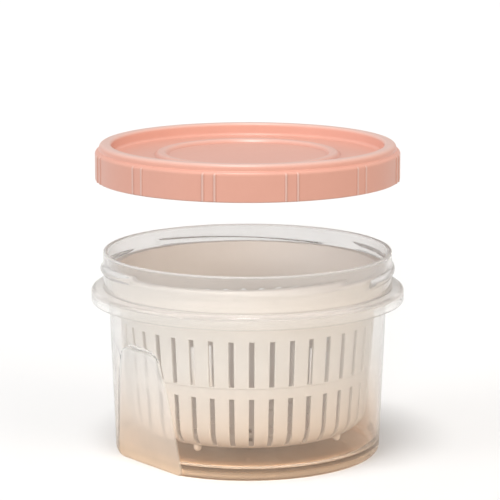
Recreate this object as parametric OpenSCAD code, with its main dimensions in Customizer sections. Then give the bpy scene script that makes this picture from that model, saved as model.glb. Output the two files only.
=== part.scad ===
// Round food storage box with a lift-out drain basket and a screw lid.
// Millimetres, +Z up. The origin is the middle of the box's base, on the table.
// Angles are counted from the front (-Y) and grow towards the right (+X).

/* [Box] */
// Height of the box from the table to its rim
box_h = 91.5; // [80:0.5:110]
// Outer diameter of the body just under the flange
body_d = 125; // [110:0.5:145]
// How much the body's radius shrinks from the flange down to the base
body_draft = 2.9; // [1:0.1:4]
// Wall of the body
wall = 1.4; // [1:0.1:1.8]
// Thickness of the floor
floor_t = 1.8; // [1.2:0.1:2.6]
// Height of the floor's underside above the table
foot_h = 3.2; // [2:0.1:5]
// Width of the foot rim that the box stands on
foot_w = 2.2; // [1.6:0.1:3.4]
// Rounding of the base's outer edge
base_round = 2.5; // [1:0.1:4]
// Rounding where the floor meets the wall inside
floor_round = 4; // [2:0.1:6]

/* [Neck and flange] */
// Height of the neck from the flange's top to the rim
neck_h = 16.5; // [15.5:0.1:19]
// Wall of the neck
neck_wall = 1.6; // [1.2:0.1:2]
// Width of the inside ledge that carries the basket
ledge_w = 2; // [1.8:0.1:3]
// How far the flange stands out from the neck
flange_w = 5.4; // [3.6:0.1:8]
// Overall height of the flange with its turned-down edge
flange_drop = 5.8; // [3:0.1:9]
// Thickness of the flange
flange_t = 1.6; // [1.2:0.1:2.2]

/* [Thread] */
// Number of thread ramps round the neck
ramp_n = 4; // [3:1:6]
// Open angle between one ramp and the next, in degrees
ramp_gap = 12; // [10:1:24]
// Height of the ramps' middle below the rim
ramp_drop = 8; // [7:0.1:9]
// How far a ramp stands out from the neck
ramp_proud = 1.35; // [0.8:0.05:1.8]
// Height of a ramp at its crest
ramp_crest = 1.8; // [1.2:0.1:2.6]
// Slope of a ramp round the neck, in degrees
ramp_lean = 1.9; // [1:0.1:2]
// Angle of the gap to the right of the front, in degrees
ramp_gap_at = 48; // [0:1:90]
// Angle that the lid turns to lock under the ramps, in degrees
lock_turn = 45; // [20:1:60]

/* [Grip panels] */
// Angle of the first grip panel from the front, in degrees; the other lies opposite
panel_at = -52; // [-90:1:90]
// Height of the panel's top edge above the table
panel_top = 53; // [40:0.5:60]
// Depth of the panel's lip at its top edge
panel_lip = 1.5; // [0.6:0.1:2]
// Width of the panel at its top edge
panel_top_w = 30; // [20:0.5:40]
// Width of the panel's outline at the table
panel_base_w = 58; // [50:0.5:70]
// Rounding of the panel's top corners
panel_round = 8; // [2:0.5:9]
// Gap between the basket and the inside of a panel, where they come closest
panel_gap = 1.4; // [0.4:0.1:2.5]

/* [Drain basket] */
// Depth of the basket's rim below the box's rim
basket_drop = 7.4; // [6:0.1:8.4]
// Gap under the basket's floor, where the water collects
sump_h = 6.5; // [6:0.1:12]
// Gap between the basket's wall and the box's wall, at the ledge
basket_side_gap = 3; // [1.6:0.1:4]
// Inward lean of the basket's wall, in degrees
basket_lean = 4.3; // [3:0.1:6]
// Wall of the basket
basket_wall = 1.4; // [1:0.1:1.8]
// Thickness of the basket's floor
basket_floor_t = 1.5; // [1:0.1:2]
// Rounding where the basket's wall turns into its floor
basket_round = 10; // [6:0.5:14]
// Width of the basket's flat rim, from its mouth to the outside of its collar
basket_rim_w = 4.4; // [4.4:0.1:5]
// Thickness of the turned-down collar under the basket's rim
collar_t = 1.4; // [1:0.05:1.6]
// Depth of the shallow step in the wall under the upper slots
wall_step = 0.25; // [0.1:0.05:0.4]

/* [Slots and feet of the basket] */
// Number of slots in each row of the wall
slot_n = 40; // [24:4:48]
// Width of a slot
slot_w = 2.3; // [1.6:0.1:3]
// Angle of the first slot from the front, in degrees
slot_at = 1.8; // [0:0.1:9]
// Height of the plain wall above the upper slots
slot_top_margin = 22.7; // [14:0.1:30]
// Height of the lower slots' ends above the basket's underside
slot_low_margin = 1.9; // [1.7:0.1:4]
// Height of the plain band between the two rows
slot_band = 5.3; // [3:0.1:9]
// Share of the slots' whole height that the upper row takes
upper_slot_share = 0.48; // [0.4:0.01:0.6]
// Length of a slot in the floor
floor_slot_l = 11; // [6:0.5:13]
// Plain width outside each ring of floor slots
floor_slot_margin = 4; // [2:0.1:6]
// Number of feet under the basket
nub_n = 4; // [3:1:6]
// Diameter of a foot
nub_d = 3.4; // [2.4:0.1:5]
// Height of a foot
nub_h = 2.8; // [2:0.1:5]
// Angle of the first foot from the front, in degrees
nub_at = -29; // [-45:1:45]

/* [Lid] */
// Height of the lid's skirt up to its shoulder
skirt_h = 12.9; // [11.9:0.1:15]
// Wall of the lid
lid_wall = 1.5; // [1:0.1:1.8]
// Wall of the rim bead, round the groove that takes the box's rim
bead_wall = 1.2; // [0.9:0.1:1.6]
// Height of the rounded rim bead above the shoulder
bead_h = 3.1; // [2.8:0.1:4.5]
// Depth of the lid's recess below its rim bead
recess_h = 5.5; // [4:0.1:6]
// Radius of the raised ring in the recess
ring_r = 38.4; // [25:0.1:48]
// Width of the raised ring
ring_w = 6; // [4:0.1:8]
// Height of the raised ring
ring_h = 1.6; // [0.8:0.1:2.4]
// Sag of the shallow dish inside the ring
dish_sag = 0.8; // [0.2:0.1:1.6]
// Number of rib pairs round the skirt
rib_pairs = 12; // [6:1:18]
// Angle between the two ribs of a pair, in degrees
rib_pair_angle = 4.4; // [3:0.1:8]
// Width of a rib
rib_w = 1.3; // [0.8:0.1:2]
// How far a rib stands out from the skirt
rib_proud = 0.5; // [0.2:0.05:0.6]
// Angle of the first rib pair from the front, in degrees
rib_at = 16; // [0:1:30]
// Angle that one lug of the lid takes up, in degrees
lug_angle = 8; // [4:1:9]
// Thickness of a lug
lug_t = 1; // [0.6:0.1:1.4]
// Height that the lid is held above its closed place
lid_raise = 45.4; // [0:0.1:80]

/* [Seal] */
// Thickness of the seal ring
seal_t = 1.1; // [0.7:0.1:1.4]

/* [Clearances] */
// Gap between pieces that rest on each other
rest_gap = 0.1; // [0.05:0.05:0.3]
// Gap between pieces that slide past each other
slide_gap = 0.4; // [0.3:0.05:0.6]
// Gap between the seal and the groove that holds it
seal_gap = 0.3; // [0.3:0.05:0.4]
// Gap between the lid's plug and the inside of the neck
plug_gap = 0.8; // [0.5:0.1:1.2]

/* [Hidden] */
$fn = 96;

// How far a cutting shape runs past the surface that it cuts
past = 4;
// Number of straight pieces that stand for a rounded corner
round_steps = 6;
// Small rounding of a moulded edge
edge_round = 0.5;

// Heights and radii of the box
flange_z = box_h - neck_h;
web_z = flange_z - flange_t;
floor_z = foot_h + floor_t;
body_r = body_d / 2;
base_r = body_r - body_draft;
body_in_r = body_r - wall;
neck_in_r = body_in_r + ledge_w;
neck_r = neck_in_r + neck_wall;
flange_r = neck_r + flange_w;
rim_round = neck_wall / 2;
function body_r_at(z) = base_r + body_draft * z / web_z;

// Thread ramps
ramp_r = neck_r + ramp_proud;
ramp_z = box_h - ramp_drop;
ramp_pitch = 360 / ramp_n;
ramp_angle = ramp_pitch - ramp_gap;
// Height of a ramp's middle line at an angle from its own middle
function ramp_z_at(angle) = ramp_z + ramp_r * sin(angle) * sin(ramp_lean);

// Basket
basket_z = floor_z + sump_h;
basket_top = box_h - basket_drop;
collar_r = neck_in_r - slide_gap;
collar_in_r = collar_r - collar_t;
mouth_r = collar_r - basket_rim_w;
basket_web_z = basket_top - basket_wall;
function basket_r_at(z) = body_in_r - basket_side_gap - (flange_z - z) * tan(basket_lean);
basket_low_r = basket_r_at(basket_z);
basket_ledge_r = basket_r_at(flange_z);
basket_flat_r = basket_low_r - basket_round;
slot_top = basket_top - slot_top_margin;
slot_low = basket_z + slot_low_margin;
slot_room = slot_top - slot_low - slot_band;
upper_slot_h = slot_room * upper_slot_share;
lower_slot_h = slot_room - upper_slot_h;
upper_slot_z = slot_top - upper_slot_h;
step_z = upper_slot_z - edge_round;

// Grip panels: the flat face leans in from the lip and keeps clear of the basket
panel_near_z = basket_z + basket_round;
panel_near_r = basket_r_at(panel_near_z) + panel_gap + wall;
panel_top_r = body_r_at(panel_top) - panel_lip;
panel_slope = (panel_top_r - panel_near_r) / (panel_top - panel_near_z);
panel_foot_r = panel_near_r - panel_slope * panel_near_z;
panel_lean = atan(panel_slope);

// Lid, with heights counted from the bottom edge of its skirt
skirt_in_r = ramp_r + slide_gap;
skirt_r = skirt_in_r + lid_wall;
crest_z = skirt_h + bead_h;
groove_in_r = neck_in_r - plug_gap;
groove_out_r = neck_r + seal_gap;
groove_top = crest_z - bead_wall;
bead_r = groove_out_r + bead_wall;
recess_r = groove_in_r - lid_wall;
recess_z = crest_z - recess_h;
plate_z = recess_z - lid_wall;
shoulder_under = skirt_h - lid_wall;
seal_z = groove_top - seal_gap - seal_t;
rim_seat = seal_z - slide_gap;
lid_closed_z = box_h - rim_seat;
lid_z = lid_closed_z + lid_raise;
lug_r = neck_r + slide_gap;
// A locked lug's leading end lies just under the ramp, whose flanks slope at 45 degrees
lock_z = ramp_z_at(ramp_pitch / 2 - lock_turn - lug_angle / 2) - ramp_crest / 2 - (ramp_r - lug_r);
lug_top = lock_z - slide_gap * sqrt(2) - lid_closed_z;

// The arc that rounds corner q, between the points p and s, to radius r
function corner(p, q, s, r) =
    let (
        u = (p - q) / norm(p - q),
        w = (s - q) / norm(s - q),
        half = acos(u * w) / 2,
        middle = q + (u + w) / norm(u + w) * r / sin(half),
        from = q + u * r / tan(half) - middle,
        to = q + w * r / tan(half) - middle,
        start = atan2(from.y, from.x),
        turn = (atan2(to.y, to.x) - start + 540) % 360 - 180
    )
    [for (i = [0:round_steps]) middle + r * [cos(start + turn * i / round_steps),
                                             sin(start + turn * i / round_steps)]];

// An outline from corners [x, y, rounding]
function rounded(corners) =
    let (n = len(corners), at = [for (c = corners) [c[0], c[1]]])
    [for (i = [0:n - 1])
        each corners[i][2] > 0
            ? corner(at[(i + n - 1) % n], at[i], at[(i + 1) % n], corners[i][2])
            : [at[i]]];

// A solid turned about the vertical axis from corners [radius, height, rounding]
module turned(corners) {
    rotate_extrude() polygon(rounded(corners));
}

// Turns a shape that points along +X to an angle counted from the front
module at_angle(angle) {
    rotate([0, 0, angle - 90]) children();
}

// The box without its hollow: body, flange with its turned-down edge, and neck
module box_form() {
    turned([
        [0, 0, 0],
        [base_r, 0, base_round],
        [body_r, web_z, edge_round],
        [flange_r - flange_t, web_z, edge_round],
        [flange_r - flange_t, flange_z - flange_drop, edge_round],
        [flange_r, flange_z - flange_drop, edge_round],
        [flange_r, flange_z, flange_t],
        [neck_r, flange_z, edge_round],
        [neck_r, box_h, rim_round],
        [0, box_h, 0]
    ]);
}

// The hollow of the box, with the ledge under the neck and a rounded mouth
module box_hollow() {
    turned([
        [0, floor_z, 0],
        [body_r_at(floor_z) - wall, floor_z, floor_round],
        [body_in_r, flange_z, edge_round],
        [neck_in_r, flange_z, edge_round],
        [neck_in_r, box_h, rim_round],
        [neck_in_r + 2 * past, box_h + past / 2, 0],
        [0, box_h + past / 2, 0]
    ]);
}

// The shallow space under the floor, inside the foot rim
module foot_hollow() {
    turned([
        [0, -past, 0],
        [base_r - base_round - foot_w, -past, 0],
        [base_r - base_round - foot_w, foot_h, edge_round],
        [0, foot_h, 0]
    ]);
}

// What the two grip panels take away from the body, grown inwards by a wall
module grip_panels(grow) {
    length = panel_top / cos(panel_lean) + grow;
    outline = rounded([
        [-panel_base_w / 2 - grow, -past, 0],
        [panel_base_w / 2 + grow, -past, 0],
        [panel_top_w / 2 + grow, length, panel_round + grow],
        [-panel_top_w / 2 - grow, length, panel_round + grow]
    ]);
    for (turn = [0, 180])
        at_angle(panel_at + turn)
            translate([panel_foot_r - grow, 0, 0])
                rotate([0, panel_lean, 0])
                    rotate([90, 0, 90])
                        linear_extrude(body_draft + base_r) polygon(outline);
}

// One sloping thread ramp for each start, on the outside of the neck
module thread_ramps() {
    half = ramp_crest / 2;
    flank = ramp_proud + neck_wall / 2;
    for (i = [0:ramp_n - 1])
        at_angle(ramp_gap_at + ramp_pitch * (i + 0.5))
            translate([0, 0, ramp_z])
                rotate([ramp_lean, 0, 0])
                    rotate([0, 0, -ramp_angle / 2])
                        rotate_extrude(angle = ramp_angle)
                            polygon(rounded([
                                [neck_r - neck_wall / 2, -half - flank, 0],
                                [ramp_r, -half, edge_round],
                                [ramp_r, half, edge_round],
                                [neck_r - neck_wall / 2, half + flank, 0]
                            ]));
}

module outer_box() {
    color([0.93, 0.92, 0.90, 0.45])
        difference() {
            union() {
                box_form();
                thread_ramps();
            }
            grip_panels(0);
            difference() {
                box_hollow();
                grip_panels(wall);
            }
            difference() {
                foot_hollow();
                grip_panels(foot_w);
            }
        }
}

// The basket's floor, its wall, which flares from the ledge up to the rim, and the collar that
// stands on the ledge
module basket_form() {
    step_r = basket_r_at(step_z);
    turned([
        [0, basket_z, 0],
        [basket_low_r - wall_step, basket_z, basket_round],
        [step_r - wall_step, step_z - wall_step, 0],
        [step_r, step_z, 0],
        [basket_ledge_r, flange_z, 0],
        [mouth_r + basket_wall, basket_web_z, edge_round],
        [collar_in_r, basket_web_z, edge_round],
        [collar_in_r, flange_z + rest_gap, edge_round],
        [collar_r, flange_z + rest_gap, edge_round],
        [collar_r, basket_top, basket_wall],
        [mouth_r, basket_top, edge_round],
        [basket_ledge_r - basket_wall, flange_z, 0],
        [basket_low_r - wall_step - basket_wall, basket_z + basket_floor_t, basket_round - basket_wall],
        [0, basket_z + basket_floor_t, 0]
    ]);
}

// One row of wall slots of a given height, from a height upwards
module wall_slots(from, height) {
    for (i = [0:slot_n - 1])
        at_angle(slot_at + i * 360 / slot_n)
            translate([basket_flat_r, -slot_w / 2, from])
                cube([basket_ledge_r + past - basket_flat_r, slot_w, height]);
}

// One ring of slots in the floor, ending at an outer radius
module floor_slots(count, outer) {
    for (i = [0:count - 1])
        at_angle(slot_at + i * 360 / count)
            translate([outer - floor_slot_l, -slot_w / 2, basket_z - past])
                cube([floor_slot_l, slot_w, basket_floor_t + 2 * past]);
}

// Small round feet for standing the basket on a table
module basket_feet() {
    stem = nub_h - nub_d / 2;
    for (i = [0:nub_n - 1])
        at_angle(nub_at + i * 360 / nub_n)
            translate([basket_flat_r + nub_d / 2, 0, basket_z - stem]) {
                cylinder(h = stem + basket_floor_t / 2, d = nub_d);
                sphere(d = nub_d);
            }
}

module drain_basket() {
    ring_out = basket_flat_r - floor_slot_margin;
    color([0.95, 0.93, 0.90])
        difference() {
            union() {
                basket_form();
                basket_feet();
            }
            wall_slots(slot_low, lower_slot_h);
            wall_slots(upper_slot_z, upper_slot_h);
            floor_slots(slot_n / 2, ring_out);
            floor_slots(slot_n / 4, ring_out - floor_slot_l - floor_slot_margin);
        }
}

// Height of the dish's surface at a share of its radius
function dish_at(share) = recess_z - dish_sag * (1 - share * share);

// The lid's shell: skirt, shoulder, rim bead, recess, raised ring and dish
module lid_form() {
    ring_in = ring_r - ring_w / 2;
    ring_out = ring_r + ring_w / 2;
    dish_steps = 6;
    turned(concat(
        [
            [skirt_in_r, 0, edge_round],
            [skirt_r, 0, edge_round],
            [skirt_r, skirt_h, lid_wall],
            [bead_r, skirt_h, edge_round],
            [bead_r, crest_z, bead_h - 2 * edge_round],
            [recess_r, crest_z, lid_wall],
            [recess_r - edge_round, recess_z, lid_wall],
            [ring_out, recess_z, edge_round],
            [ring_out - ring_h, recess_z + ring_h, edge_round],
            [ring_in + ring_h, recess_z + ring_h, edge_round],
        ],
        [for (i = [dish_steps:-1:0]) [ring_in * i / dish_steps, dish_at(i / dish_steps), 0]],
        [for (i = [0:dish_steps]) [ring_in * i / dish_steps, dish_at(i / dish_steps) - lid_wall, 0]],
        [
            [groove_in_r - edge_round, plate_z, edge_round],
            [groove_in_r, groove_top, edge_round],
            [groove_out_r, groove_top, edge_round],
            [groove_out_r, shoulder_under, edge_round],
            [skirt_in_r, shoulder_under, edge_round]
        ]
    ));
}

// Thin upright ribs in pairs round the skirt
module skirt_ribs() {
    for (i = [0:rib_pairs - 1], side = [-0.5, 0.5])
        at_angle(rib_at + i * 360 / rib_pairs + side * rib_pair_angle)
            translate([skirt_r + rib_proud - rib_w / 2, 0, 0])
                cylinder(h = skirt_h - lid_wall / 2, d = rib_w, $fn = 24);
}

// Lugs inside the skirt that catch under the thread ramps
module lid_lugs() {
    root_r = skirt_in_r + lid_wall / 2;
    for (i = [0:ramp_n - 1])
        at_angle(ramp_gap_at + i * ramp_pitch)
            rotate([0, 0, -lug_angle / 2])
                rotate_extrude(angle = lug_angle)
                    polygon([
                        [root_r, lug_top - lug_t],
                        [lug_r, lug_top - lug_t],
                        [lug_r, lug_top],
                        [root_r, lug_top + root_r - lug_r]
                    ]);
}

module screw_lid() {
    color([0.90, 0.69, 0.62])
        translate([0, 0, lid_z]) {
            lid_form();
            skirt_ribs();
            lid_lugs();
        }
}

// The soft ring in the lid's groove that the box's rim presses against
module lid_seal() {
    color([0.96, 0.95, 0.93])
        translate([0, 0, lid_z])
            turned([
                [groove_in_r + seal_gap, seal_z, edge_round / 2],
                [groove_out_r - seal_gap, seal_z, edge_round / 2],
                [groove_out_r - seal_gap, seal_z + seal_t, edge_round / 2],
                [groove_in_r + seal_gap, seal_z + seal_t, edge_round / 2]
            ]);
}

outer_box();
drain_basket();
screw_lid();
lid_seal();
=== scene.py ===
import math

import bpy
import numpy as np
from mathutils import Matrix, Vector


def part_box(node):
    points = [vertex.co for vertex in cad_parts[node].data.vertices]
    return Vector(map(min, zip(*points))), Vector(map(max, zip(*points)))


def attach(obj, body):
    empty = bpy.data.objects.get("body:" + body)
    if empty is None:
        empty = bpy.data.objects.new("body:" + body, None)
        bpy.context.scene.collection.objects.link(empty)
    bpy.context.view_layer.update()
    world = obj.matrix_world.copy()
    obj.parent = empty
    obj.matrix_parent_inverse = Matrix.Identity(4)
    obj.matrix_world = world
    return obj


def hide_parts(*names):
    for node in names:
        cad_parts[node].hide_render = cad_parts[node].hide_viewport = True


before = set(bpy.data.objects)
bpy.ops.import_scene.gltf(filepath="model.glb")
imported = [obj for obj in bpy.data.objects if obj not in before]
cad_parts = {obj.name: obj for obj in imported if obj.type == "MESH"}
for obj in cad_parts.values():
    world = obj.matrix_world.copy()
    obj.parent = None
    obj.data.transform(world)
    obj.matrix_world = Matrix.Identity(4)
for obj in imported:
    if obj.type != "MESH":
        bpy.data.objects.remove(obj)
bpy.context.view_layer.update()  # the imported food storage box, in metres, +Z up

# Shapes are worked out in millimetres, as radius, height and angle about the box's axis.
# Angles are counted from the front (-Y) and grow towards the right (+X).
MM = 0.001
DEG = math.pi / 180
FULL_TURN = 2 * math.pi


def millimetres(node):
    """The lowest and highest corner of a node of the frame, in millimetres."""
    low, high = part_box(node)
    return np.array(low) / MM, np.array(high) / MM


_, box_high = millimetres("outer_box")
basket_low, basket_high = millimetres("drain_basket")
lid_low, lid_high = millimetres("screw_lid")
seal_low, seal_high = millimetres("lid_seal")

EDGE_ROUND = 0.5  # small rounding of a moulded edge

# Box
box_h = box_high[2]
flange_r = box_high[0]
flange_w = 5.4  # from the neck to the flange's outer face
flange_t = 1.6
flange_drop = 5.8  # height of the flange's turned-down edge
neck_h = 16.5
neck_wall = 1.6
ledge_w = 2.0  # ledge inside the neck that carries the basket
wall = 1.4
body_draft = 2.9  # how much narrower the body is at its base
floor_t = 1.8
foot_h = 3.2
foot_w = 2.2
base_round = 2.5
floor_round = 4.0
flange_z = box_h - neck_h
web_z = flange_z - flange_t  # underside of the flange
floor_z = foot_h + floor_t
neck_r = flange_r - flange_w
neck_in_r = neck_r - neck_wall
body_in_r = neck_in_r - ledge_w
body_r = body_in_r + wall
base_r = body_r - body_draft

# Thread ramps on the neck, with angles in degrees
ramp_n = 4
ramp_gap = 12.0  # angle between two ramps
ramp_drop = 8.0  # from the rim down to the middle of a ramp
ramp_proud = 1.35
ramp_crest = 1.8  # height of a ramp's flat crest
ramp_lean = 1.9  # angle at which a ramp climbs
ramp_gap_at = 48.0
ramp_r = neck_r + ramp_proud
ramp_z = box_h - ramp_drop
ramp_pitch = 360 / ramp_n

# Drain basket
basket_top = basket_high[2]
collar_r = basket_high[0]
collar_t = 1.4
basket_wall = 1.4
basket_floor_t = 1.5
basket_side_gap = 3.0  # from the box's wall to the basket's, at the ledge
basket_lean = 4.3  # degrees from upright
basket_round = 10.0
basket_rim_w = 4.4  # from the mouth to the collar's outer face
wall_step = 0.25  # small step in the wall, under the upper slots
rest_gap = 0.1  # from the ledge to the collar that rests on it
nub_n = 4  # feet
nub_d = 3.4
nub_h = 2.8
nub_at = -29.0  # degrees
basket_z = basket_low[2] + nub_h
basket_web_z = basket_top - basket_wall


def basket_r_at(z):
    """Outer radius of the basket's leaning wall at a height."""
    return body_in_r - basket_side_gap - (flange_z - z) * math.tan(basket_lean * DEG)


basket_low_r = basket_r_at(basket_z)
basket_ledge_r = basket_r_at(flange_z)
basket_flat_r = basket_low_r - basket_round
mouth_r = collar_r - basket_rim_w

# Slots of the basket: two rows in its wall and two rings in its floor
slot_n = 40
slot_w = 2.3
slot_at = 1.8  # degrees
slot_top_margin = 22.7  # from the basket's rim to the upper slots
slot_low_margin = 1.9  # from the basket's floor to the lower slots
slot_band = 5.3  # between the two rows
upper_slot_share = 0.48  # of the height that both rows share
floor_slot_l = 11.0
floor_slot_margin = 4.0
OUTER_RING_EVERY = 2  # the floor's outer ring has a slot under every second slot of the wall
INNER_RING_EVERY = 4
SLOT_COLUMNS = 6  # columns of the basket's grid from one slot to the next
slot_low = basket_z + slot_low_margin
slot_top = basket_top - slot_top_margin
slot_room = slot_top - slot_low - slot_band
upper_slot_z = slot_top - slot_room * upper_slot_share
lower_slot_top = upper_slot_z - slot_band
step_z = upper_slot_z - EDGE_ROUND
outer_ring_end = basket_flat_r - floor_slot_margin
outer_ring_start = outer_ring_end - floor_slot_l
inner_ring_end = outer_ring_start - floor_slot_margin
inner_ring_start = inner_ring_end - floor_slot_l

# Grip panels: two flat faces that lean in towards the foot of the box
panel_at = -52.0  # degrees
panel_top = 53.0
panel_lip = 1.5  # depth of the panel's top edge
panel_top_w = 30.0
panel_round = 8.0
panel_gap = 1.4  # from the panel to the basket, where they are closest
panel_foot_round = 0.8
panel_soft = 0.35  # width over which a panel's edge is rounded


def body_r_at(z):
    """Outer radius of the body's drafted wall at a height."""
    return base_r + body_draft * z / web_z


panel_near_z = basket_z + basket_round
panel_near_r = basket_r_at(panel_near_z) + panel_gap + wall
panel_slope = (body_r_at(panel_top) - panel_lip - panel_near_r) / (panel_top - panel_near_z)
panel_foot_r = panel_near_r - panel_slope * panel_near_z

# Lid, with heights counted from the bottom edge of its skirt
lid_z = lid_low[2]
crest_z = lid_high[2] - lid_z
lid_wall = 1.5
bead_wall = 1.2
bead_h = 3.1
recess_h = 5.5
slide_gap = 0.4  # between the lid's skirt and the ramps
seal_gap = 0.3  # round the seal in its groove
plug_gap = 0.8  # between the lid's plug and the inside of the neck
ring_r = 38.4
ring_w = 6.0
ring_h = 1.6
ring_round = 2.0
dish_sag = 0.8  # how far the lid dips inside the ring
rib_pairs = 12
rib_pair_angle = 4.4  # degrees between the two ribs of a pair
rib_w = 1.3
rib_proud = 0.5
rib_at = 16.0  # degrees
lug_angle = 8.0  # degrees
lug_t = 1.0
lug_rise = 2.43
skirt_h = crest_z - bead_h
skirt_in_r = ramp_r + slide_gap
skirt_r = skirt_in_r + lid_wall
groove_in_r = neck_in_r - plug_gap
groove_out_r = neck_r + seal_gap
groove_top = crest_z - bead_wall
bead_r = groove_out_r + bead_wall
recess_r = groove_in_r - lid_wall
recess_z = crest_z - recess_h
plate_z = recess_z - lid_wall
shoulder_under = skirt_h - lid_wall
ring_in_r = ring_r - ring_w / 2
ring_out_r = ring_r + ring_w / 2
rib_pitch = 360 / rib_pairs * DEG
rib_half = rib_pair_angle / 2 * DEG
lug_r = neck_r + slide_gap


# Tools for surfaces

def corner_arc(last, corner, after, radius, steps):
    """Points of the arc of a radius that touches both sides of a corner."""
    to_last = (last - corner) / np.linalg.norm(last - corner)
    to_next = (after - corner) / np.linalg.norm(after - corner)
    half = math.acos(np.clip(to_last @ to_next, -1, 1)) / 2
    bisector = (to_last + to_next) / np.linalg.norm(to_last + to_next)
    middle = corner + bisector * radius / math.sin(half)
    start = corner + to_last * radius / math.tan(half) - middle
    end = corner + to_next * radius / math.tan(half) - middle
    first = math.atan2(start[1], start[0])
    turn = (math.atan2(end[1], end[0]) - first + 3 * math.pi) % FULL_TURN - math.pi
    angle = first + turn * np.linspace(0, 1, steps + 1)
    return middle + radius * np.stack([np.cos(angle), np.sin(angle)], axis=1)


def rounded_profile(corners, steps=6, guard=0.35):
    """Points of a profile through corners (radius, height, rounding). A rounded corner is an arc that
    touches both of its sides, and a straight run gets a point near each arc so that it shades flat.
    Also returns the corner that each point comes from."""
    at = np.array([corner[:2] for corner in corners], float)
    rounding = [corner[2] for corner in corners]
    ends = (0, len(at) - 1)
    arcs = []
    for i, radius in enumerate(rounding):
        sharp = radius <= 0 or i in ends
        arcs.append(at[i:i + 1] if sharp else corner_arc(at[i - 1], at[i], at[i + 1], radius, steps))
    points, owner = [], []
    for i, arc in enumerate(arcs):
        points.append(arc)
        owner += [i] * len(arc)
        if i + 1 == len(arcs):
            break
        run = arcs[i + 1][0] - arc[-1]
        length = np.linalg.norm(run)
        if length > 3 * guard:
            guards = [arc[-1] + run / length * guard] * (rounding[i] > 0)
            guards += [arcs[i + 1][0] - run / length * guard] * (rounding[i + 1] > 0)
            points += [point[None] for point in guards]
            owner += [i + 0.5] * len(guards)
    return np.concatenate(points), np.array(owner)


def smooth_less(a, b, width):
    """The smaller of a and b, with the place where they cross rounded over a width."""
    share = np.clip(0.5 + 0.5 * (b - a) / width, 0, 1)
    return b + (a - b) * share - width * share * (1 - share)


def smooth_step(x):
    """0 below 0 and 1 above 1, with a smooth rise between."""
    x = np.clip(x, 0, 1)
    return x * x * (3 - 2 * x)


def steps_between(first, last, count):
    """Even steps from first to last, without these two."""
    return np.linspace(first, last, count + 2)[1:-1]


def round_points(radius, height, angle):
    """Points at a radius, height and angle about the box's axis, in metres."""
    radius, height, angle = np.broadcast_arrays(radius, height, angle)
    return np.stack([radius * np.sin(angle), -radius * np.cos(angle), height], axis=-1) * MM


def round_faces(rows, columns, looped=False):
    """Quads between neighbouring rows of a grid that runs right round. A looped grid also joins its
    last row to its first."""
    row = np.arange(rows if looped else rows - 1)[:, None]
    column = np.arange(columns)[None, :]
    row, column = np.broadcast_arrays(row, column)
    next_row, next_column = (row + 1) % rows, (column + 1) % columns
    return np.stack([row * columns + column, row * columns + next_column,
                     next_row * columns + next_column, next_row * columns + column], axis=-1)


def fan_faces(ring, middle, inward):
    """Triangles from a ring of vertices to one middle vertex."""
    after = np.roll(ring, -1)
    pair = (after, ring) if inward else (ring, after)
    return np.stack([*pair, np.full_like(ring, middle)], axis=-1)


def closed_turning(points):
    """Vertices and faces of a grid of points that runs right round and closes on the axis at both
    ends."""
    rows, columns = points.shape[:2]
    low = points[0].mean(axis=0) * [0, 0, 1]
    high = points[-1].mean(axis=0) * [0, 0, 1]
    vertices = np.concatenate([points.reshape(-1, 3), [low, high]])
    count = rows * columns
    faces = [
        round_faces(rows, columns),
        fan_faces(np.arange(columns), count, inward=True),
        fan_faces(np.arange(count - columns, count), count + 1, inward=False),
    ]
    return vertices, faces


def vertex_shares(shares, shape):
    """Shares of a grid that closes on the axis, as one value for each vertex. The two vertices on the
    axis take the mean of the row next to them."""
    full = {key: np.broadcast_to(share, shape) for key, share in shares.items()}
    return {key: np.append(share, [share[0].mean(), share[-1].mean()]) for key, share in full.items()}


def make_piece(name, body, slot, finish, points, faces, shares=None):
    """An object from points in metres and blocks of faces, which rides on a body of the frame. Shares
    are values from 0 to 1 that its finish reads at each point."""
    mesh = bpy.data.meshes.new(name)
    lists = [face for block in faces for face in block.reshape(-1, block.shape[-1]).tolist()]
    mesh.from_pydata(points.reshape(-1, 3).tolist(), [], lists)
    mesh.polygons.foreach_set("use_smooth", np.ones(len(mesh.polygons), bool))
    for key, values in (shares or {}).items():
        layer = mesh.attributes.new(key, "FLOAT", "POINT")
        layer.data.foreach_set("value", values.astype(np.float32))
    mesh.materials.append(finish)
    mesh.update()
    piece = bpy.data.objects.new(name, mesh)
    bpy.context.scene.collection.objects.link(piece)
    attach(piece, body)
    return piece


# Shapes of the pieces

def panel_columns(row_r, half):
    """Angles of the box's columns on each row. Columns gather at the two edges of each grip panel,
    whose half angle changes with height, so that an edge always runs along a column, and at the ends of
    the ramps."""
    panel_n = 19
    wall_n = 90
    row_r, half = row_r[:, None], half[:, None]
    near_edge = np.array([-1.8, -1.0, -0.55, -0.2, 0.15, 0.5, 1.0, 1.8]) / row_r
    margin = near_edge[:, -1:]
    inside = steps_between(-1, 1, panel_n) * (half - margin)
    start, end = half + margin, math.pi - half - margin
    ramp_ends = ramp_gap_at + np.array([ramp_gap / 2 - ramp_pitch, -ramp_gap / 2, ramp_gap / 2])
    ramp_ends = ((ramp_ends - panel_at) * DEG - start[-1]) / (end[-1] - start[-1])
    near_end = np.array([-0.012, -0.004, 0.004, 0.012])
    share = np.concatenate([steps_between(0, 1, wall_n), (ramp_ends[:, None] + near_end).ravel()])
    outside = start + np.sort(share) * (end - start)
    part = np.concatenate([-half + near_edge, inside, half - near_edge[:, ::-1], outside], axis=1)
    return panel_at * DEG + np.concatenate([part, part + math.pi], axis=1)


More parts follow.
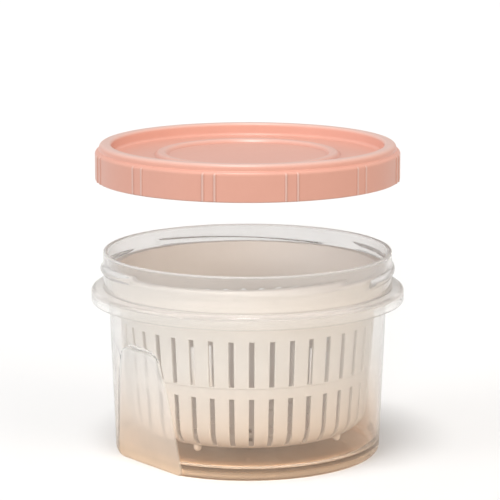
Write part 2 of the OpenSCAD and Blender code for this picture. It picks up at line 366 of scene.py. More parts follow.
def ramp_rise(angle, z):
    """How far the thread ramps stand out from the neck: a trapezium with 45 degree flanks about a line
    that climbs round the neck, which fades out towards each ramp's ends."""
    end_slope = 0.3  # rise for each millimetre from a ramp's end
    end_soft = 0.6
    crest_soft = 0.8
    pitch = ramp_pitch * DEG
    turn = (angle - ramp_gap_at * DEG) % pitch - pitch / 2
    middle = ramp_z + ramp_r * np.sin(turn) * math.sin(ramp_lean * DEG)
    flank = ramp_crest / 2 + ramp_proud - np.abs(z - middle)
    ends = ((ramp_pitch - ramp_gap) / 2 * DEG - np.abs(turn)) * ramp_r * end_slope
    rise = smooth_less(smooth_less(flank, ends, end_soft), ramp_proud, crest_soft)
    return -smooth_less(-rise, 0.0, crest_soft)


def box_profile():
    """Rows of the box's profile, as radius and height: from the middle of its underside over the foot,
    the wall, the flange and the neck and back down inside. Also returns which rows lie inside and which
    under the foot."""
    hub_r = 1.0  # the smallest ring
    half_way_r = 30.0
    row_step = 4.0
    lip_zone = 5.0  # rows gather this near the top of the grip panels
    above_lip = 7.0  # even rows start again this far above the panels
    ramp_zone = 4.5  # rows gather this near the middle of the ramps
    foot_edge_round = 0.6
    rim_round = neck_wall / 2 - 0.01
    near_lip = panel_top + np.array([-4, -2.3, -1.3, -0.7, -0.3, 0, 0.3, 0.7, 1.3, 2.5])
    low_rows = np.arange(floor_z, panel_top - lip_zone, row_step)
    high_rows = np.arange(panel_top + above_lip, web_z - row_step, row_step)
    wall_rows = np.concatenate([low_rows, near_lip, high_rows])
    inner_rows = wall_rows[wall_rows > floor_z + floor_round][::-1]
    inner_rows = inner_rows + wall * (inner_rows > panel_top - lip_zone)
    ramp_rows = ramp_z + np.linspace(-ramp_zone, ramp_zone, 31)
    foot_in_r = base_r - base_round - foot_w
    corners = [
        (hub_r, foot_h, 0),
        (half_way_r, foot_h, 0),
        (foot_in_r, foot_h, EDGE_ROUND),
        (foot_in_r, 0, foot_edge_round),
    ]
    foot_end = len(corners) - 0.5
    corners += [(base_r, 0, base_round)]
    corners += [(body_r_at(z), z, 0) for z in wall_rows]
    corners += [
        (body_r, web_z, EDGE_ROUND),
        (flange_r - flange_t, web_z, EDGE_ROUND),
        (flange_r - flange_t, flange_z - flange_drop, EDGE_ROUND),
        (flange_r, flange_z - flange_drop, EDGE_ROUND),
        (flange_r, flange_z, flange_t),
        (neck_r, flange_z, EDGE_ROUND),
    ]
    corners += [(neck_r, z, 0) for z in ramp_rows]
    corners += [(neck_r, box_h, rim_round)]
    rim = len(corners) - 0.5
    corners += [
        (neck_in_r, box_h, rim_round),
        (neck_in_r, flange_z, EDGE_ROUND),
        (body_in_r, flange_z, EDGE_ROUND),
    ]
    corners += [(body_r_at(z) - wall, z, 0) for z in inner_rows]
    corners += [
        (body_r_at(floor_z) - wall, floor_z, floor_round),
        (half_way_r, floor_z, 0),
        (hub_r, floor_z, 0),
    ]
    profile, owner = rounded_profile(corners)
    return *profile.T, owner > rim, owner < foot_end


def panel_arch(across, from_top):
    """How far the top edge of a grip panel comes down at its rounded corners, which are quarter
    circles, by the distance from the panel's middle and the height above its top. It fades out beyond
    them."""
    corner_end = 14.0
    fade = 5.0
    height_reach = 14.0
    bend_limit = 0.98  # keeps the quarter circle just short of upright
    bend = np.clip(across - (panel_top_w / 2 - panel_round), 0, bend_limit * panel_round)
    arch = panel_round - np.sqrt(panel_round**2 - bend**2)
    arch = arch * np.exp(-np.clip(across - corner_end, 0, None) / fade)
    return arch * np.clip(1 - np.abs(from_top) / height_reach, 0, 1)


def box_shape():
    """The box as one closed surface: its profile turned about the axis. Each grip panel replaces the
    radius by the distance to a leaning flat face, where that is less, up to a lip that comes down at
    its corners. Returns points, faces and five shares: frost on the panels, milk in the thick edges,
    the neck, where a grey shade is painted, the rim with the edges of the panels, where a highlight
    line is painted, partly as a milky edge, and the foot, where a warm cast is painted, which fades out up
    the wall."""
    least_r = 20.0  # keeps the columns even near the axis
    least_half = 8 * DEG
    least_cos = 0.3
    fold_spread = 0.004  # keeps rows apart where the panel cuts deep
    lip_below, lip_rise = 0.4, 1.0  # the lip's height below the panel's top, and in all
    inner_below, inner_rise = 2.5, 4.0  # the same on the inside of the wall
    lip_reach = 2.0  # above the panel's top, where the wall is whole again
    # width and strength of a painted highlight line, laid on as haze along the sides of the panels
    edge_w = 0.25
    edge_highlight_level = 0.6
    row_r, row_z, inside, foot = box_profile()
    outside = ~inside & ~foot
    back = np.where(inside, wall, np.where(foot, foot_w, 0.0))
    top = panel_top + np.where(inside, wall, 0.0)
    under_round = np.clip(panel_foot_round - row_z, 0, panel_foot_round)
    foot_cut = panel_foot_round - np.sqrt(panel_foot_round**2 - under_round**2)
    face = panel_foot_r + panel_slope * np.minimum(row_z, top) - back - outside * foot_cut
    reach = np.where(row_z < top, row_r, body_r_at(top) - back)
    half = np.arccos(np.clip(face / np.maximum(reach, face), -1, 1))
    angle = panel_columns(np.maximum(row_r, least_r), np.maximum(half, least_half))

    row_r, row_z, top, face, reach, inside, outside = (
        rows[:, None] for rows in (row_r, row_z, top, face, reach, inside, outside))
    off = (angle - panel_at * DEG + math.pi / 2) % math.pi - math.pi / 2
    flat = face / np.maximum(np.cos(off), least_cos)
    cut = smooth_less(row_r, flat, panel_soft) + fold_spread * np.clip(row_r - flat, 0, None)
    from_top = row_z - top
    climb = np.where(inside, (from_top + inner_below) / inner_rise, (from_top + lip_below) / lip_rise)
    above = smooth_step(climb)
    radius = np.where((row_r > face) & (from_top < lip_reach), cut + (row_r - cut) * above, row_r)
    on_neck = outside & (row_z > flange_z + EDGE_ROUND) & (row_z < box_h - neck_wall)
    radius = radius + np.where(on_neck, ramp_rise(angle, row_z), 0)
    sag = panel_arch(np.abs(reach * np.sin(off)), from_top)
    points, faces = closed_turning(round_points(radius, row_z - sag, angle))

    # Painted highlight lines, laid on as haze and partly a milky moulded edge: a band along the rim, a soft
    # line along the panels' lip and a line along their sides.
    lip = 4 * above * (1 - above) * np.clip((row_r - flat) / panel_soft, 0, 1)
    edge = edge_highlight_level * np.clip(1 - np.abs(row_r - flat) / edge_w, 0, 1) * (row_z < top)
    rim = np.interp(row_z, [box_h - 1.2, box_h - 0.3], [0, 1])
    milk_z = [0, 4, 8, web_z - 3, web_z, flange_z, flange_z + 1.5, flange_z + 4]
    # The neck share lays a painted grey shade on the neck, and the foot share lays a painted warm cast on
    # the foot.
    shares = {
        "frost": np.clip((row_r - radius) / panel_soft, 0, 1) * outside,
        "milk": np.interp(row_z, milk_z, [0.35, 0.35, 0, 0, 1, 1, 0.8, 0.3]),
        "neck": np.interp(row_z, [flange_z, flange_z + 2], [0, 1]),
        "rim": np.maximum(rim, np.maximum(lip, edge) * outside),
        "foot": np.interp(row_z, [4, 6, 12, 20, 32, 50], [1, 0.8, 0.7, 0.45, 0.2, 0]),
    }
    return points, faces, vertex_shares(shares, angle.shape)


def basket_rows():
    """Rows of the basket's grid, as radius and height: stations along the outer skin of its floor and
    wall, the rim with its turned-down collar, and the same stations back along the inner skin. Also
    returns the first station and the last of each row and ring of slots."""
    outer, _ = rounded_profile([
        (0, basket_z, 0),
        (basket_low_r - wall_step, basket_z, basket_round),
        (basket_r_at(step_z) - wall_step, step_z - wall_step, 0),
        (basket_r_at(step_z), step_z, 0),
        (basket_ledge_r, flange_z, 0),
        (mouth_r + basket_wall, basket_web_z, 0),
    ], steps=24)
    inner, _ = rounded_profile([
        (0, basket_z + basket_floor_t, 0),
        (basket_low_r - wall_step - basket_wall, basket_z + basket_floor_t, basket_round - basket_wall),
        (basket_ledge_r - basket_wall, flange_z, 0),
        (mouth_r, basket_top, 0),
    ], steps=24)
    hub = [1.5, 6]
    inner_ring = np.linspace(inner_ring_start, inner_ring_end, 3)
    outer_ring = np.linspace(outer_ring_start, outer_ring_end, 3)
    flat = np.concatenate([hub, inner_ring, outer_ring, [outer_ring_end + 2]])
    bend_start = outer[1, 0]
    bend = np.linspace(0, 1, 6)[:-1]
    lower = np.concatenate([slot_low + np.array([0, 0.5, 1.2, 2.2, 3.5, 5, 7, 9.5]),
                            np.linspace(slot_low + 12, lower_slot_top, 4)])
    band = [step_z - 3, step_z - wall_step - 0.3, step_z - wall_step, step_z]
    upper = np.linspace(upper_slot_z, slot_top, 6)
    top = [slot_top + 2, slot_top + 8, flange_z - 1, flange_z, flange_z + 1, basket_web_z - 2]
    heights = np.concatenate([lower, band, upper, top])

    def skin(profile):
        """Radius and height of a profile at every station."""
        bend_end = np.interp(slot_low, profile[:, 1], profile[:, 0])
        low_r = np.concatenate([flat, bend_start + bend * (bend_end - bend_start)])
        low_z = np.interp(low_r, profile[:, 0], profile[:, 1])
        high_r = np.interp(heights, profile[:, 1], profile[:, 0])
        return np.stack([np.append(low_r, high_r), np.append(low_z, heights)], axis=1)

    out_skin, in_skin = skin(outer), skin(inner)
    collar_in_r = collar_r - collar_t
    rim, _ = rounded_profile([
        (*out_skin[-1], 0),
        (mouth_r + basket_wall, basket_web_z, EDGE_ROUND),
        (collar_in_r, basket_web_z, EDGE_ROUND),
        (collar_in_r, flange_z + rest_gap, EDGE_ROUND),
        (collar_r, flange_z + rest_gap, EDGE_ROUND),
        (collar_r, basket_top, basket_wall),
        (mouth_r, basket_top, EDGE_ROUND),
        (*in_skin[-1], 0),
    ])
    rows = np.concatenate([out_skin, rim[1:-1], in_skin[::-1]])
    starts = {"inner": len(hub), "outer": len(hub) + len(inner_ring), "lower": len(flat) + len(bend)}
    starts["upper"] = starts["lower"] + len(lower) + len(band)
    lengths = {"inner": len(inner_ring), "outer": len(outer_ring), "lower": len(lower), "upper": len(upper)}
    return *rows.T, {key: (start, start + lengths[key] - 1) for key, start in starts.items()}


def slot_columns(row_r):
    """Angles of the basket's columns on each row: two along the sides of every slot, and the rest
    evenly from there to the next slot."""
    slot = np.arange(slot_n)
    least_r = np.where(slot % INNER_RING_EVERY == 0, inner_ring_start, outer_ring_start)
    half = np.arcsin(slot_w / 2 / np.maximum(row_r[:, None], least_r))
    middle = (slot_at + slot * 360 / slot_n) * DEG
    left, right = middle - half, middle + half
    next_left = np.roll(left, -1, axis=1) + np.where(slot == slot_n - 1, FULL_TURN, 0)
    share = np.linspace(0, 1, SLOT_COLUMNS)[:-1]
    rest = right[..., None] + (next_left - right)[..., None] * share
    return np.concatenate([left[..., None], rest], axis=-1).reshape(len(row_r), -1)


def open_slots(kept, first, final, slots):
    """Marks a grid's faces over some slots as left out, between two stations of both skins, and returns
    the four walls that close each gap between the skins."""
    last, columns = kept.shape
    left = slots * SLOT_COLUMNS
    right = left + 1
    station = np.arange(first, final)
    kept[np.ix_(station, left)] = False
    kept[np.ix_(last - 1 - station, left)] = False

    def skins(station, column):
        """Vertices of a column on the outer and the inner skin."""
        return station * columns + column, (last - station) * columns + column

    def wall_between(here, there, turned):
        """Quads from one pair of outer and inner vertices to another."""
        quad = (here[0], there[0], there[1], here[1]) if turned else (here[0], here[1], there[1], there[0])
        return np.stack(quad, axis=-1).reshape(-1, 4)

    low = station[:, None]
    return [
        wall_between(skins(low, left), skins(low + 1, left), turned=False),
        wall_between(skins(low, right), skins(low + 1, right), turned=True),
        wall_between(skins(first, left), skins(first, right), turned=True),
        wall_between(skins(final, left), skins(final, right), turned=False),
    ]


def basket_shape():
    """The basket as one closed surface: its rows turned about the axis. Two columns follow the sides of
    every slot, so a slot is a strip of faces left out on both skins, and four walls close the gap
    between them."""
    row_r, row_z, runs = basket_rows()
    points = round_points(row_r[:, None], row_z[:, None], slot_columns(row_r))
    vertices, (skin, *poles) = closed_turning(points)
    kept = np.ones(skin.shape[:2], bool)
    slot = np.arange(slot_n)
    walls = open_slots(kept, *runs["lower"], slot)
    walls += open_slots(kept, *runs["upper"], slot)
    walls += open_slots(kept, *runs["outer"], slot[::OUTER_RING_EVERY])
    walls += open_slots(kept, *runs["inner"], slot[::INNER_RING_EVERY])
    return vertices, [skin[kept], *walls, *poles]


def feet_shape():
    """The basket's feet: a short stem that ends in a half ball, turned about its own upright axis."""
    stem_root = 0.7  # how far a stem reaches up into the basket's floor
    down = np.linspace(0, math.pi / 2, 9)[:-1]
    low_z = basket_z - nub_h
    radius = np.append(nub_d / 2, nub_d / 2 * np.cos(down))
    height = np.append(nub_h + stem_root, nub_d / 2 * (1 - np.sin(down))) + low_z
    turn = np.linspace(0, FULL_TURN, 24, endpoint=False)
    place = (nub_at + np.arange(nub_n) * 360 / nub_n) * DEG
    middle_r = basket_flat_r + nub_d / 2
    middle_x, middle_y = middle_r * np.sin(place), -middle_r * np.cos(place)
    x = middle_x[:, None, None] + radius[:, None] * np.cos(turn)
    y = middle_y[:, None, None] + radius[:, None] * np.sin(turn)
    z = np.broadcast_to(height[:, None], x.shape)
    tips = np.stack([middle_x, middle_y, np.full(nub_n, low_z)], axis=-1)
    points = np.concatenate([np.stack([x, y, z], axis=-1).reshape(-1, 3), tips]) * MM
    rows, columns = len(radius), len(turn)
    shift = np.arange(nub_n) * rows * columns
    sides = round_faces(rows, columns)[..., ::-1] + shift[:, None, None, None]
    ring = np.arange((rows - 1) * columns, rows * columns)
    first_tip = nub_n * rows * columns
    ends = [fan_faces(ring + shift[i], first_tip + i, inward=True) for i in range(nub_n)]
    caps = np.arange(columns) + shift[:, None]
    return points, [sides.reshape(-1, 4), *ends, caps]


def lid_profile():
    """Rows of the lid's profile, as radius and height: from the middle of its underside over the plug,
    the seal's groove and the skirt to the rim bead, the recess, the raised ring and the dish, which
    sags as a parabola. Also returns which rows lie on the outside of the skirt."""
    skin_depth = 0.6  # how far the skirt's rounded edges lie behind its face
    mid_skirt = 0.4 * skirt_h
    dish_share = np.linspace(0, 1, 9)[1:]
    dish = [(ring_in_r * s, recess_z - dish_sag * (1 - s * s), 0) for s in dish_share]
    corners = [(r, z - lid_wall, 0) for r, z, _ in dish]
    corners += [
        (groove_in_r - EDGE_ROUND, plate_z, EDGE_ROUND),
        (groove_in_r, groove_top, EDGE_ROUND),
        (groove_out_r, groove_top, EDGE_ROUND),
        (groove_out_r, shoulder_under, EDGE_ROUND),
        (skirt_in_r, shoulder_under, EDGE_ROUND),
        (skirt_in_r, 0, EDGE_ROUND),
    ]
    skirt_start = len(corners) - 0.5
    corners += [
        (skirt_r, 0, EDGE_ROUND),
        (skirt_r, mid_skirt, 0),
        (skirt_r, skirt_h, lid_wall),
        (bead_r, skirt_h, EDGE_ROUND),
        (bead_r, crest_z, bead_h - 2 * EDGE_ROUND),
        (recess_r, crest_z, lid_wall),
        (recess_r - EDGE_ROUND, recess_z, lid_wall),
        (ring_out_r, recess_z, ring_round / 2),
        (ring_out_r - ring_h, recess_z + ring_h, ring_round),
        (ring_in_r + ring_h, recess_z + ring_h, ring_round),
        (ring_in_r, recess_z, ring_round / 2),
    ]
    corners += dish[-2::-1]
    profile, owner = rounded_profile(corners, steps=8)
    row_r, row_z = profile.T
    on_skirt = (owner > skirt_start) & (row_r > skirt_r - skin_depth) & (row_z < skirt_h)
    return row_r, row_z, on_skirt


def lid_columns():
    """Angles of the lid's columns, which gather at the ribs."""
    beside = np.array([0.22, 0.45, 0.6, 0.68, 0.95]) / skirt_r
    near_rib = np.concatenate([-beside[::-1], [0], beside])
    start = rib_half + beside[-1]
    part = np.concatenate([
        -rib_half + near_rib,
        steps_between(-1, 1, 3) * (rib_half - beside[-1]),
        rib_half + near_rib,
        start + steps_between(0, 1, 13) * (rib_pitch - 2 * start),
    ])
    return (rib_at * DEG + part + np.arange(rib_pairs)[:, None] * rib_pitch).ravel()


def rib_rise(angle):
    """How far the upright ribs stand out from the skirt: parts of thin round bars set into it, in
    pairs. Also returns the share of each angle that lies in the crease beside a bar, where shade is
    painted."""
    foot_soft = 0.06
    crease_w = 0.3
    turn = (angle - rib_at * DEG + rib_pitch / 2) % rib_pitch - rib_pitch / 2
    across = (np.abs(turn) - rib_half) * skirt_r
    bar = rib_proud - rib_w / 2 + np.sqrt(np.clip((rib_w / 2) ** 2 - across**2, 0, None))
    painted_crease_shade = np.clip(1 - np.abs(np.abs(across) - rib_w / 2) / crease_w, 0, 1)
    return -smooth_less(-bar, 0.0, foot_soft), painted_crease_shade


def lid_shape():
    """The lid as one closed surface: its profile turned about the axis, with the ribs added to the
    skirt's radius. Returns points, faces and two shares: a painted highlight, which is high on the ribs,
    the bead and the ring, and a painted shade, which is high beside the ribs and the ring."""
    # Strength of the painted highlight on the ribs, the bead and the ring, and of the painted shade beside
    # the ring.
    rib_sheen_level, bead_sheen_level, ring_sheen_level = 0.9, 0.8, 0.5
    ring_shade_level = 0.7
    ring_shade_w = 0.8
    row_r, row_z, on_skirt = lid_profile()
    angle = lid_columns()
    low_end = smooth_step(row_z / EDGE_ROUND)
    top_end = 1 - smooth_step((row_z - skirt_h + lid_wall) / lid_wall)
    ribbed = (on_skirt * low_end * top_end)[:, None]
    bar, rib_painted_shade = rib_rise(angle)
    rise = ribbed * bar
    points, faces = closed_turning(round_points(row_r[:, None] + rise, row_z[:, None] + lid_z, angle))

    # Painted highlight on the bead's top and on the ring, and painted shade in the crease round the ring.
    bead = bead_sheen_level * smooth_step((row_z - crest_z + lid_wall) / lid_wall)
    on_ring = (row_r > ring_in_r) & (row_r < ring_out_r)
    ring = ring_sheen_level * smooth_step((row_z - recess_z) / ring_h) * on_ring
    from_ring = np.minimum(np.abs(row_r - ring_in_r), np.abs(row_r - ring_out_r))
    on_floor = np.abs(row_z - recess_z) < EDGE_ROUND
    ring_painted_shade = ring_shade_level * np.clip(1 - from_ring / ring_shade_w, 0, 1) * on_floor
    shares = {
        "crest": np.maximum(rib_sheen_level * rise / rib_proud, (bead + ring)[:, None]),
        "painted_crease_shade": np.maximum(ribbed * rib_painted_shade, ring_painted_shade[:, None]),
    }
    return points, faces, vertex_shares(shares, rise.shape)


def lugs_shape():
    """The lid's lugs: a wedge profile carried a few degrees round the inside of the skirt, closed at
    both ends."""
    root_r = skirt_in_r + lid_wall / 2
    profile, _ = rounded_profile([
        (root_r, lug_rise - lug_t, 0),
        (lug_r, lug_rise - lug_t, EDGE_ROUND / 2),
        (lug_r, lug_rise, EDGE_ROUND / 2),
        (root_r, lug_rise + root_r - lug_r, 0),
    ], steps=3)
    turn = np.linspace(-0.5, 0.5, 9) * lug_angle * DEG
    place = (ramp_gap_at + np.arange(ramp_n) * ramp_pitch) * DEG
    points = round_points(profile[:, :1], profile[:, 1:] + lid_z, place[:, None, None] + turn)
    rows, columns = len(profile), len(turn)
    row = np.arange(rows)[:, None]
    column = np.arange(columns - 1)[None, :]
    after = (row + 1) % rows
    sides = np.stack([row * columns + column, after * columns + column,
                      after * columns + column + 1, row * columns + column + 1], axis=-1).reshape(-1, 4)
    shift = np.arange(ramp_n)[:, None] * rows * columns
    first = np.arange(rows) * columns + shift
    return points, [sides + shift[:, :, None], first[:, ::-1], first + columns - 1]


def seal_shape():
    """The seal: a flat ring with rounded edges, its profile turned about the axis and closed on
    itself."""
    soft = EDGE_ROUND / 2
    low, high = seal_low[2], seal_high[2]
    in_r, out_r = groove_in_r + seal_gap, seal_high[0]
    middle = (in_r + out_r) / 2
    profile, _ = rounded_profile([
        (middle, low, 0),
        (out_r, low, soft),
        (out_r, high, soft),
        (in_r, high, soft),
        (in_r, low, soft),
        (middle - 0.4, low, 0),
    ], steps=4, guard=0.2)
    angle = np.linspace(0, FULL_TURN, 240, endpoint=False)
    points = round_points(profile[:, :1], profile[:, 1:], angle)
    return points, [round_faces(len(profile), len(angle), looped=True)]


# Finishes

def add_node(tree, kind, inputs=None, **settings):
    """A shader node with its settings, and its inputs set to a value or linked from a socket."""
    node = tree.nodes.new(kind)
    for key, value in settings.items():
        setattr(node, key, value)
    for key, value in (inputs or {}).items():
        if isinstance(value, bpy.types.NodeSocket):
            tree.links.new(value, node.inputs[key])
        else:
            node.inputs[key].default_value = value
    return node


def new_finish(name):
    """An empty node material, its tree and the Object coordinates that its patterns follow."""
    finish = bpy.data.materials.new(name)
    finish.use_nodes = True
    tree = finish.node_tree
    tree.nodes.clear()
    return finish, tree, add_node(tree, "ShaderNodeTexCoord").outputs["Object"]


def point_share(tree, key):
    """A share that the points of a piece carry."""
    return add_node(tree, "ShaderNodeAttribute", attribute_name=key).outputs["Fac"]


def noise(tree, where, scale, detail=2.0):
    """Soft noise with features of about one over scale metres."""
    inputs = {"Vector": where, "Scale": scale, "Detail": detail}
    return add_node(tree, "ShaderNodeTexNoise", inputs).outputs["Fac"]


def mapped(tree, value, start, end, low, high):
    """A value that runs from low to high while another runs from start to end."""
    inputs = {"Value": value, "From Min": start, "From Max": end, "To Min": low, "To Max": high}
    return add_node(tree, "ShaderNodeMapRange", inputs).outputs["Result"]


def spread(tree, value, low, high):
    """Noise, which lies mostly from 0.25 to 0.75, stretched to run from low to high."""
    return mapped(tree, value, 0.25, 0.75, low, high)


def maths(tree, operation, a, b):
    """One operation on two values or sockets."""
    return add_node(tree, "ShaderNodeMath", {0: a, 1: b}, operation=operation).outputs["Value"]


def scaled(tree, value, factor):
    """A value times a factor."""
    return maths(tree, "MULTIPLY", value, factor)


def total(tree, first, *others):
    """The sum of several values or sockets."""
    for other in others:
        first = maths(tree, "ADD", first, other)
    return first


def tint(tree, share, first, second):
    """A colour between two colours or sockets, by a share."""
    first, second = (end if isinstance(end, bpy.types.NodeSocket) else (*end, 1) for end in (first, second))
    return add_node(tree, "ShaderNodeMix", {0: share, 6: first, 7: second}, data_type="RGBA").outputs[2]


def mixed(tree, share, first, second):
    """A shader between two shader nodes, by a share."""
    return add_node(tree, "ShaderNodeMixShader", {0: share, 1: first.outputs[0], 2: second.outputs[0]})


def output(tree, shader):
    """Sends a shader node to the material's surface."""
    add_node(tree, "ShaderNodeOutputMaterial", {"Surface": shader.outputs[0]})


def clear_plastic_finish():
    """Clear, slightly milky moulded plastic. Most light goes straight through, and a thin haze scatters
    some of it, more in the thick edges, at the rim and where the wall is seen edge on. At the rim and along
    the panels' edges the haze is partly a milky edge and partly a painted highlight line. The grip panels
    are frosted. The neck carries a painted grey shade and the foot a painted warm cast. The lamps shine
    through it as through a clear pane."""
    # The neck's grey is painted shade. The foot's warm tint and warm milk are a painted warm cast.
    wall_tint, neck_painted_grey, foot_painted_warmth = (0.985, 0.98, 0.97), (0.84, 0.84, 0.84), (0.98, 0.775, 0.59)
    wall_milk, edge_milk, foot_painted_warm_milk = (0.97, 0.965, 0.955), (0.86, 0.82, 0.785), (0.95, 0.735, 0.55)
    pane_tint = (0.99, 0.985, 0.98, 1)
    # The rim's haze is partly a painted highlight line on the rim and the panels' edges.
    edge_haze, thick_haze, rim_highlight_haze = 0.14, 0.2, 0.45
    frost_haze, foot_haze = 0.44, 0.25  # of the panels, and what their foot adds to it
    seep = 0.2  # share of the scattered light that comes through from behind
    finish, tree, where = new_finish("clear_plastic")
    keys = ("frost", "milk", "neck", "rim", "foot")
    frost, thick, neck, rim, foot = (point_share(tree, key) for key in keys)
    cloud = noise(tree, where, scale=90, detail=3)
    ripple = noise(tree, where, scale=240)
    grain = noise(tree, where, scale=2600)
    skin = add_node(tree, "ShaderNodeMix", {0: frost, 2: ripple, 3: grain}, data_type="FLOAT").outputs[0]
    bump = add_node(tree, "ShaderNodeBump", {
        "Strength": total(tree, scaled(tree, frost, 0.008), 0.003),
        "Distance": 0.0006,
        "Height": skin,
    })
    glass = add_node(tree, "ShaderNodeBsdfPrincipled", {
        "Base Color": tint(tree, foot, tint(tree, neck, wall_tint, neck_painted_grey), foot_painted_warmth),
        "Roughness": total(tree, spread(tree, cloud, 0.04, 0.1), scaled(tree, frost, 0.03)),
        "IOR": 1.42,
        "Transmission Weight": 1.0,
        "Normal": bump.outputs["Normal"],
    })
    facing = add_node(tree, "ShaderNodeLayerWeight", {"Blend": 0.5}).outputs["Facing"]
    edge_on = maths(tree, "POWER", facing, 2.5)
    frosted = maths(tree, "MULTIPLY", frost, total(tree, frost_haze, scaled(tree, foot, foot_haze)))
    haze = total(tree, spread(tree, cloud, 0.04, 0.08), scaled(tree, edge_on, edge_haze), frosted,
                 scaled(tree, thick, thick_haze), scaled(tree, rim, rim_highlight_haze))
    milk = tint(tree, foot, tint(tree, thick, wall_milk, edge_milk), foot_painted_warm_milk)
    front = add_node(tree, "ShaderNodeBsdfDiffuse", {"Color": milk})
    behind = add_node(tree, "ShaderNodeBsdfTranslucent", {"Color": milk})
    body = mixed(tree, haze, glass, mixed(tree, seep, front, behind))
    shadow_ray = add_node(tree, "ShaderNodeLightPath").outputs["Is Shadow Ray"]
    pane = add_node(tree, "ShaderNodeBsdfTransparent", {"Color": pane_tint})
    output(tree, mixed(tree, shadow_ray, body, pane))
    return finish


def moulded_finish(name, pale, deep, rough, grain_scale=2200, glow=0.0, crest=None, painted_crease_shade=None):
    """Satin moulded plastic: two near shades in soft clouds, an uneven sheen and a fine skin. The glow
    is the share of light that seeps through its wall. Crests may carry a paler painted highlight, and
    the creases beside them a deeper painted shade."""
    finish, tree, where = new_finish(name)
    cloud = noise(tree, where, scale=45, detail=3)
    fleck = noise(tree, where, scale=420)
    shade = total(tree, scaled(tree, cloud, 0.75), scaled(tree, fleck, 0.25))
    colour = tint(tree, spread(tree, shade, 0.0, 1.0), deep, pale)
    # Painted highlight on the crests, and painted shade in the creases beside them.
    if crest:
        colour = tint(tree, point_share(tree, "crest"), colour, crest)
        colour = tint(tree, scaled(tree, point_share(tree, "painted_crease_shade"), 0.6), colour, painted_crease_shade)
    grain = noise(tree, where, grain_scale)
    bump = add_node(tree, "ShaderNodeBump", {"Strength": 0.015, "Distance": 0.0004, "Height": grain})
    body = add_node(tree, "ShaderNodeBsdfPrincipled", {
        "Base Color": colour,
        "Roughness": spread(tree, fleck, rough - 0.02, rough + 0.03),
        "IOR": 1.49,
        "Normal": bump.outputs["Normal"],
    })
    if glow:
        body = mixed(tree, glow, body, add_node(tree, "ShaderNodeBsdfTranslucent", {"Color": colour}))
    output(tree, body)
    return finish


clear_plastic = clear_plastic_finish()
white_plastic = moulded_finish(
    "white_plastic", pale=(0.90, 0.85, 0.795), deep=(0.87, 0.815, 0.755), rough=0.32, glow=0.08)
# The lid's paler crest colour is a painted highlight, and its deeper crease colour is a painted shade.
pink_plastic = moulded_finish(
    "pink_plastic", pale=(0.735, 0.385, 0.305), deep=(0.705, 0.36, 0.28), rough=0.32, glow=0.04,
    crest=(0.71, 0.49, 0.43), painted_crease_shade=(0.56, 0.25, 0.19))
silicone = moulded_finish(
    "silicone", pale=(0.86, 0.85, 0.82), deep=(0.80, 0.79, 0.76), rough=0.55, grain_scale=1400)

# Pieces

box = make_piece("clear_box", "box", "clear_plastic", clear_plastic, *box_shape())
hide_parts("outer_box")

basket = make_piece("slotted_basket", "basket", "white_plastic", white_plastic, *basket_shape())
soften = basket.modifiers.new("slot_edges", "BEVEL")
soften.width = 0.22 * MM
soften.segments = 2
soften.limit_method = "ANGLE"
soften.angle_limit = 50 * DEG
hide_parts("drain_basket")
make_piece("basket_feet", "basket", "white_plastic", white_plastic, *feet_shape())

lid = make_piece("pink_lid", "lid", "pink_plastic", pink_plastic, *lid_shape())
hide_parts("screw_lid")
make_piece("lid_lugs", "lid", "pink_plastic", pink_plastic, *lugs_shape())

seal = make_piece("seal_ring", "seal", "silicone", silicone, *seal_shape())
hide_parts("lid_seal")


# Floor, light and camera

def seen_ray(tree):
    """1 where the eye sees a surface itself, in a gloss or through clear plastic, and 0 where the
    surface only gives light to others."""
    path = add_node(tree, "ShaderNodeLightPath").outputs
    mirrored = maths(tree, "MAXIMUM", path["Is Glossy Ray"], path["Is Transmission Ray"])
    seen = maths(tree, "MAXIMUM", path["Is Camera Ray"], mirrored)
    return maths(tree, "MULTIPLY", seen, maths(tree, "LESS_THAN", path["Diffuse Depth"], 0.5))


def add_floor():
    """A wide floor that keeps the box's shadow. It is pale to the eye and throws back less light than
    it shows."""
    side = 12.0
    given, shown = (0.27, 0.26, 0.24), (0.85, 0.85, 0.85)
    corners = [(-side, -side, 0), (side, -side, 0), (side, side, 0), (-side, side, 0)]
    mesh = bpy.data.meshes.new("floor")
    mesh.from_pydata(corners, [], [(0, 1, 2, 3)])
    finish, tree, _ = new_finish("pale_floor")
    shade = tint(tree, seen_ray(tree), given, shown)
    output(tree, add_node(tree, "ShaderNodeBsdfDiffuse", {"Color": shade}))
    mesh.materials.append(finish)
    floor = bpy.data.objects.new("floor", mesh)
    bpy.context.scene.collection.objects.link(floor)


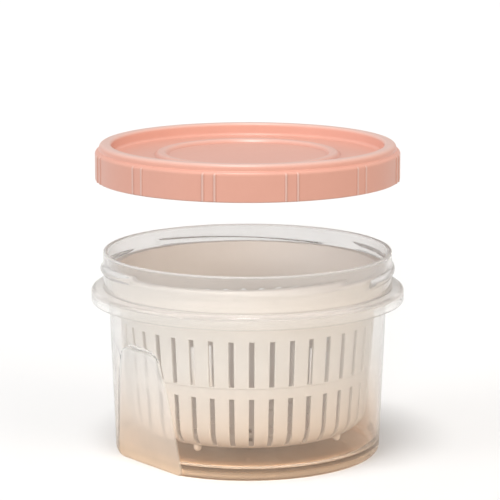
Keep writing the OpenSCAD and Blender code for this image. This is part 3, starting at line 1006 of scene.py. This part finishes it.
def add_world():
    """A studio tent: brightest near the horizon, a little dimmer overhead."""
    horizon, overhead = 0.6, 0.48
    overhead_from = 0.8  # sine of the elevation above which the light stays even
    world = bpy.data.worlds.new("tent")
    world.use_nodes = True
    tree = world.node_tree
    tree.nodes.clear()
    where = add_node(tree, "ShaderNodeTexCoord").outputs["Generated"]
    up = add_node(tree, "ShaderNodeSeparateXYZ", {0: where}).outputs["Z"]
    level = mapped(tree, up, 0.0, overhead_from, horizon, overhead)
    light = add_node(tree, "ShaderNodeBackground", {"Color": (1.0, 0.99, 0.98, 1), "Strength": level})
    add_node(tree, "ShaderNodeOutputWorld", {"Surface": light.outputs[0]})
    bpy.context.scene.world = world


def add_sun(name, azimuth, elevation, strength, softness, colour, glossy=False):
    """A soft lamp far off, at an azimuth from the front and an elevation in degrees. A lamp that isn't
    glossy lights the surfaces but leaves no spot of its own on them. Its light passes the clear wall
    only as a shadow ray does, and isn't seen through it."""
    lamp = bpy.data.lights.new(name, "SUN")
    lamp.energy = strength
    lamp.angle = softness * DEG
    lamp.color = colour
    sun = bpy.data.objects.new(name, lamp)
    sun.visible_glossy = glossy
    sun.visible_transmission = False
    across, up = azimuth * DEG, elevation * DEG
    aim = Vector((math.sin(across) * math.cos(up), -math.cos(across) * math.cos(up), math.sin(up)))
    sun.rotation_euler = aim.to_track_quat("Z", "Y").to_euler()
    bpy.context.scene.collection.objects.link(sun)


def add_camera():
    """The photograph's view: a long lens, a little above the rim."""
    distance = 1.149
    elevation = 10.73 * DEG
    camera_data = bpy.data.cameras.new("camera")
    camera_data.sensor_width = 36
    camera_data.lens = 184.4
    camera_data.shift_x = 0.0048
    camera_data.shift_y = -0.0024
    camera = bpy.data.objects.new("camera", camera_data)
    camera.location = (0, -distance * math.cos(elevation), box_h * MM + distance * math.sin(elevation))
    camera.rotation_euler = (math.pi / 2 - elevation, 0, 0)
    bpy.context.scene.collection.objects.link(camera)
    bpy.context.scene.camera = camera


add_floor()
add_world()
add_sun("overhead", azimuth=-20, elevation=79, strength=1.65, softness=18, colour=(1.0, 0.99, 0.98),
        glossy=True)
add_sun("key", azimuth=-5, elevation=14, strength=0.8, softness=14, colour=(1.0, 0.98, 0.95))
add_sun("left", azimuth=-66, elevation=12, strength=1.25, softness=30, colour=(0.94, 0.97, 1.0))
add_sun("right", azimuth=52, elevation=12, strength=1.16, softness=30, colour=(1.0, 0.89, 0.78))
add_camera()
bpy.context.scene.view_settings.view_transform = "Standard"
